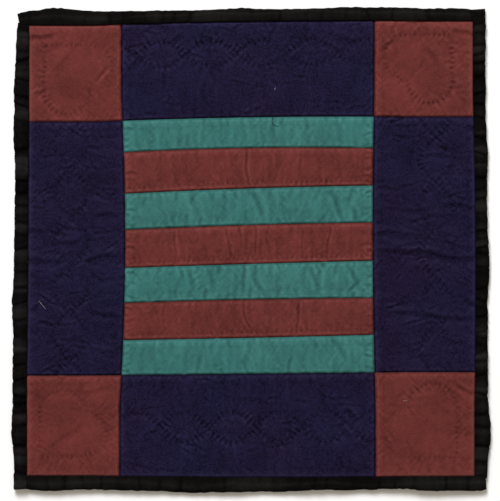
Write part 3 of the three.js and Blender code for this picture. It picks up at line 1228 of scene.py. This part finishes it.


# Each cotton's colour, a second colour that it drifts to, its pale colour for worn and painted-highlit
# ridges and for specks, and how strong its mottling, its grain and its painted shade in hollows and
# painted light on ridges are.
COTTONS = {
    "red_cotton": {
        "colour": (0.114, 0.0245, 0.0215, 1), "tint": (0.108, 0.0245, 0.0225, 1),
        "worn_and_highlight_colour": (0.2, 0.07, 0.065, 1), "mottle": 0.3, "grainy": 0.9, "relief_shade": 0.7,
    },
    "navy_cotton": {
        "colour": (0.0084, 0.0072, 0.0265, 1), "tint": (0.0106, 0.0064, 0.0235, 1),
        "worn_and_highlight_colour": (0.04, 0.036, 0.08, 1), "mottle": 0.4, "grainy": 3.4, "relief_shade": 0.9,
    },
    "teal_cotton": {
        "colour": (0.0325, 0.131, 0.124, 1), "tint": (0.035, 0.128, 0.117, 1),
        "worn_and_highlight_colour": (0.09, 0.22, 0.205, 1), "mottle": 0.22, "grainy": 0.6, "relief_shade": 0.7,
    },
    "black_cotton": {
        "colour": (0.003, 0.0028, 0.0024, 1), "tint": (0.003, 0.0023, 0.0023, 1),
        "worn_and_highlight_colour": (0.03, 0.028, 0.026, 1), "mottle": 0.6, "grainy": 3.0, "relief_shade": 1.6,
        "specular": 0.025,
    },
    "backing_cotton": {
        "colour": (0.1, 0.092, 0.105, 1), "tint": (0.095, 0.085, 0.09, 1),
        "worn_and_highlight_colour": (0.24, 0.22, 0.23, 1), "mottle": 0.4, "grainy": 0.8,
    },
    "batting": {
        "colour": (0.75, 0.71, 0.62, 1), "tint": (0.78, 0.74, 0.66, 1),
        "worn_and_highlight_colour": (0.9, 0.88, 0.82, 1), "mottle": 0.2, "grainy": 0.2,
    },
}
MATERIALS = {name: cotton(name, **looks) for name, looks in COTTONS.items()}


# ---------------- stage, light and camera

FLOOR_SIZE = 20
FLOOR_Z = -0.0002
FLOOR_COLOUR = (0.9, 0.9, 0.9, 1)
AMBIENT_COLOUR, AMBIENT_STRENGTH = (1.0, 0.9, 0.76, 1), 0.45
SUN_COLOUR = (0.96, 1.0, 1.08)
CAMERA_HEIGHT = 2.6
CAMERA_AIM = (-0.0003, -0.0007)  # the place that the picture's middle shows
FRAMED = 0.4509  # the width that the picture takes in
SENSOR = 36  # in millimetres


def place_in_scene(name, data):
    """A new light or camera."""
    thing = bpy.data.objects.new(name, data)
    bpy.context.scene.collection.objects.link(thing)
    return thing


def make_stage():
    """A pale floor, and an even warm light from all round."""
    bpy.ops.mesh.primitive_plane_add(size=FLOOR_SIZE, location=(0, 0, FLOOR_Z))
    floor = bpy.context.object
    floor.name = "floor"
    material = bpy.data.materials.new("pale_floor")
    material.use_nodes = True
    shader = material.node_tree.nodes["Principled BSDF"]
    shader.inputs["Base Color"].default_value = FLOOR_COLOUR
    shader.inputs["Roughness"].default_value = 0.9
    floor.data.materials.append(material)
    world = bpy.data.worlds.new("studio")
    bpy.context.scene.world = world
    world.use_nodes = True
    background = world.node_tree.nodes["Background"]
    background.inputs["Color"].default_value = AMBIENT_COLOUR
    background.inputs["Strength"].default_value = AMBIENT_STRENGTH


def add_window(name, place, size, power):
    """A square light that faces the middle of the quilt."""
    data = bpy.data.lights.new(name, "AREA")
    data.size = size
    data.energy = power
    light = place_in_scene(name, data)
    light.location = place
    light.rotation_euler = (-light.location).to_track_quat("-Z", "Y").to_euler()
    light.visible_camera = False


def add_sun(name, towards, strength, degrees):
    """An even, soft-edged light from one direction."""
    data = bpy.data.lights.new(name, "SUN")
    data.energy = strength
    data.angle = np.radians(degrees)
    data.color = SUN_COLOUR
    light = place_in_scene(name, data)
    light.rotation_euler = Vector(towards).to_track_quat("Z", "Y").to_euler()


def make_camera():
    """Straight above the quilt, with the top of the quilt at the top of the image."""
    data = bpy.data.cameras.new("camera")
    data.sensor_width = SENSOR
    data.lens = SENSOR * CAMERA_HEIGHT / FRAMED
    camera = place_in_scene("camera", data)
    camera.location = (*CAMERA_AIM, CAMERA_HEIGHT + FACE_Z * MM)
    bpy.context.scene.camera = camera


make_camera()
make_stage()
add_sun("key", towards=(-0.3, 1.0, 1.0), strength=2.25, degrees=26)
add_window("window", place=(-0.4, 1.7, 1.5), size=0.7, power=25)
make_patches()
make_batting()
make_backing()
for side in SIDES:
    make_binding(side)
make_threads("quilting_stitches_face", stitch_paths(0, 1), STITCH_RADIUS, "navy_cotton")
under_stitches = stitch_paths(STITCH_PITCH / 2, -1)
make_threads("quilting_stitches_underside", under_stitches, STITCH_RADIUS, "navy_cotton")
make_loose_thread()
make_lint()
bpy.context.scene.view_settings.view_transform = "Standard"
